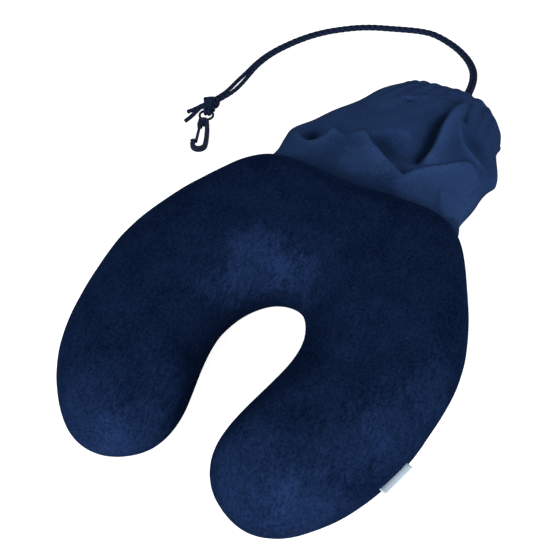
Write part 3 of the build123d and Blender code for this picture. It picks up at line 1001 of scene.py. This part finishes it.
def cord_weave():
    """Tightly braided yarn, with painted shade in the gaps between the raised yarns and the raised yarns
    lighter.
    """
    finish = Finish("cord_braid", 0.85, 0.08)
    fibres = finish.noise(mm(0.35), detail=1.0)
    # Painted shade in the gaps of the braid.
    amount = finish.sum((finish.attribute("yarn"), 0.55), (fibres, 0.6))
    finish.colour(finish.spread(amount, 0.0, 0.95), CORD_DARK, CORD_LIGHT)
    finish.bump(fibres, 0.4, mm(0.15))
    return finish.material


def thread():
    """Dark sewing thread with a faint twist."""
    finish = Finish("seam_thread", 0.7, 0.25)
    finish.colour(finish.spread(finish.noise(mm(0.5)), 0.35, 0.65), THREAD_DARK, THREAD_LIGHT)
    return finish.material


def label_weave():
    """Pale blue woven tape with nothing written on it."""
    finish = Finish("label_weave", 0.8, 0.2)
    weft = finish.noise(mm(0.45), (0.4, 2.5, 1), LABEL_TURN, 1.0)
    finish.colour(finish.spread(weft, 0.3, 0.7), LABEL_DARK, LABEL_LIGHT)
    finish.bump(weft, 0.4, mm(0.1))
    return finish.material


def hook_plastic():
    """Moulded dark navy plastic with a satin, very slightly uneven face."""
    finish = Finish("hook_plastic", 0.45, 0.18)
    finish.colour(finish.spread(finish.noise(mm(6)), 0.3, 0.7), PLASTIC_DARK, PLASTIC_LIGHT)
    finish.bump(finish.noise(mm(0.5)), 0.08, mm(0.1))
    return finish.material


# ---------------------------------------------------------------- stage
def floor():
    """A plain, near-white floor that glows a little, so only a faint shadow shows."""
    bpy.ops.mesh.primitive_plane_add(size=FLOOR_SIZE, location=(0, 0, FLOOR_HEIGHT))
    plane = bpy.context.object
    plane.name = "floor"
    finish = Finish("floor", 1.0, 0.0)
    finish.colour(finish.noise(FLOOR_CLOUDS), FLOOR_DARK, FLOOR_LIGHT)
    finish.shader.inputs["Emission Color"].default_value = (1, 1, 1, 1)
    seen = finish.tree.nodes.new("ShaderNodeLightPath").outputs["Is Camera Ray"]
    finish.link(finish.spread(seen, 0, 1, 0, FLOOR_GLOW), finish.shader.inputs["Emission Strength"])
    plane.data.materials.append(finish.material)


def area_light(name, place, target, size, power):
    """A soft square light pointed at a target."""
    light = bpy.data.lights.new(name, "AREA")
    light.shape = "SQUARE"
    light.size = size
    light.energy = power
    obj = bpy.data.objects.new(name, light)
    obj.location = place
    obj.rotation_euler = (Vector(target) - Vector(place)).to_track_quat("-Z", "Y").to_euler()
    bpy.context.collection.objects.link(obj)


def studio():
    """White surroundings, a low soft key from the front and a weak fill from the right."""
    world = bpy.data.worlds.new("studio")
    world.use_nodes = True
    background = world.node_tree.nodes["Background"]
    background.inputs["Color"].default_value = (1, 1, 1, 1)
    seen = world.node_tree.nodes.new("ShaderNodeLightPath").outputs["Is Camera Ray"]
    strength = world.node_tree.nodes.new("ShaderNodeMapRange")
    strength.inputs["To Min"].default_value = WORLD_STRENGTH
    strength.inputs["To Max"].default_value = 1.0
    world.node_tree.links.new(seen, strength.inputs["Value"])
    world.node_tree.links.new(strength.outputs["Result"], background.inputs["Strength"])
    bpy.context.scene.world = world
    for name, (place, size, power) in LIGHTS.items():
        area_light(name, place, LIGHT_TARGET, size, power)
    bpy.context.scene.view_settings.view_transform = "Standard"


def camera():
    """The camera, looking down at the pillow from the front right."""
    lens = bpy.data.cameras.new("camera")
    lens.lens = CAMERA_LENS
    lens.sensor_width = CAMERA_SENSOR
    obj = bpy.data.objects.new("camera", lens)
    obj.location = CAMERA_PLACE
    obj.rotation_euler = Vector(CAMERA_LOOK).to_track_quat("-Z", "Y").to_euler()
    bpy.context.collection.objects.link(obj)
    bpy.context.scene.camera = obj


# ---------------------------------------------------------------- the whole scene
def build():
    """Every visible piece; most go on a body, the sack cloth and the cord strands do not."""
    materials = {
        "velour": velour(),
        "sack": sack_cloth(),
        "cord": cord_weave(),
        "thread": thread(),
        "label": label_weave(),
        "plastic": hook_plastic(),
    }
    cover, seam_line = pillow_cover()
    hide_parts("foam_core", "cover_top_panel", "cover_bottom_panel")
    finish_piece(cover, materials["velour"], "pillow")
    lift = outward_from(seam_line)
    sizes = (STITCH_LENGTH, STITCH_GAP, STITCH_RADIUS)
    seam = stitches("edge_seam_stitches", seam_line * 1000, lift, *sizes)
    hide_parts("edge_seam")
    finish_piece(seam, materials["thread"], "pillow")
    rows, painted_shade = sack_surface(seam_line)
    sack = stuff_sack(rows, painted_shade)
    finish_piece(sack, materials["sack"])
    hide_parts("sack_top_panel", "sack_bottom_panel", "sack_left_seam", "sack_right_seam")
    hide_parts("sack_sewing_band")
    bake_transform(sack)
    hem = mouth_hem(rows)
    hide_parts("mouth_casing", "hem_cord")
    finish_piece(hem, materials["sack"], "stuff_sack")
    draw_cord(materials)
    knot_and_tails(materials)
    label = woven_label()
    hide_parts("woven_label")
    finish_piece(label, materials["label"], "pillow")
    for node in ("hook_eye", "hook_body", "hook_gate"):
        NODES[node].data.materials.clear()
        NODES[node].data.materials.append(materials["plastic"])


build()
floor()
studio()
camera()
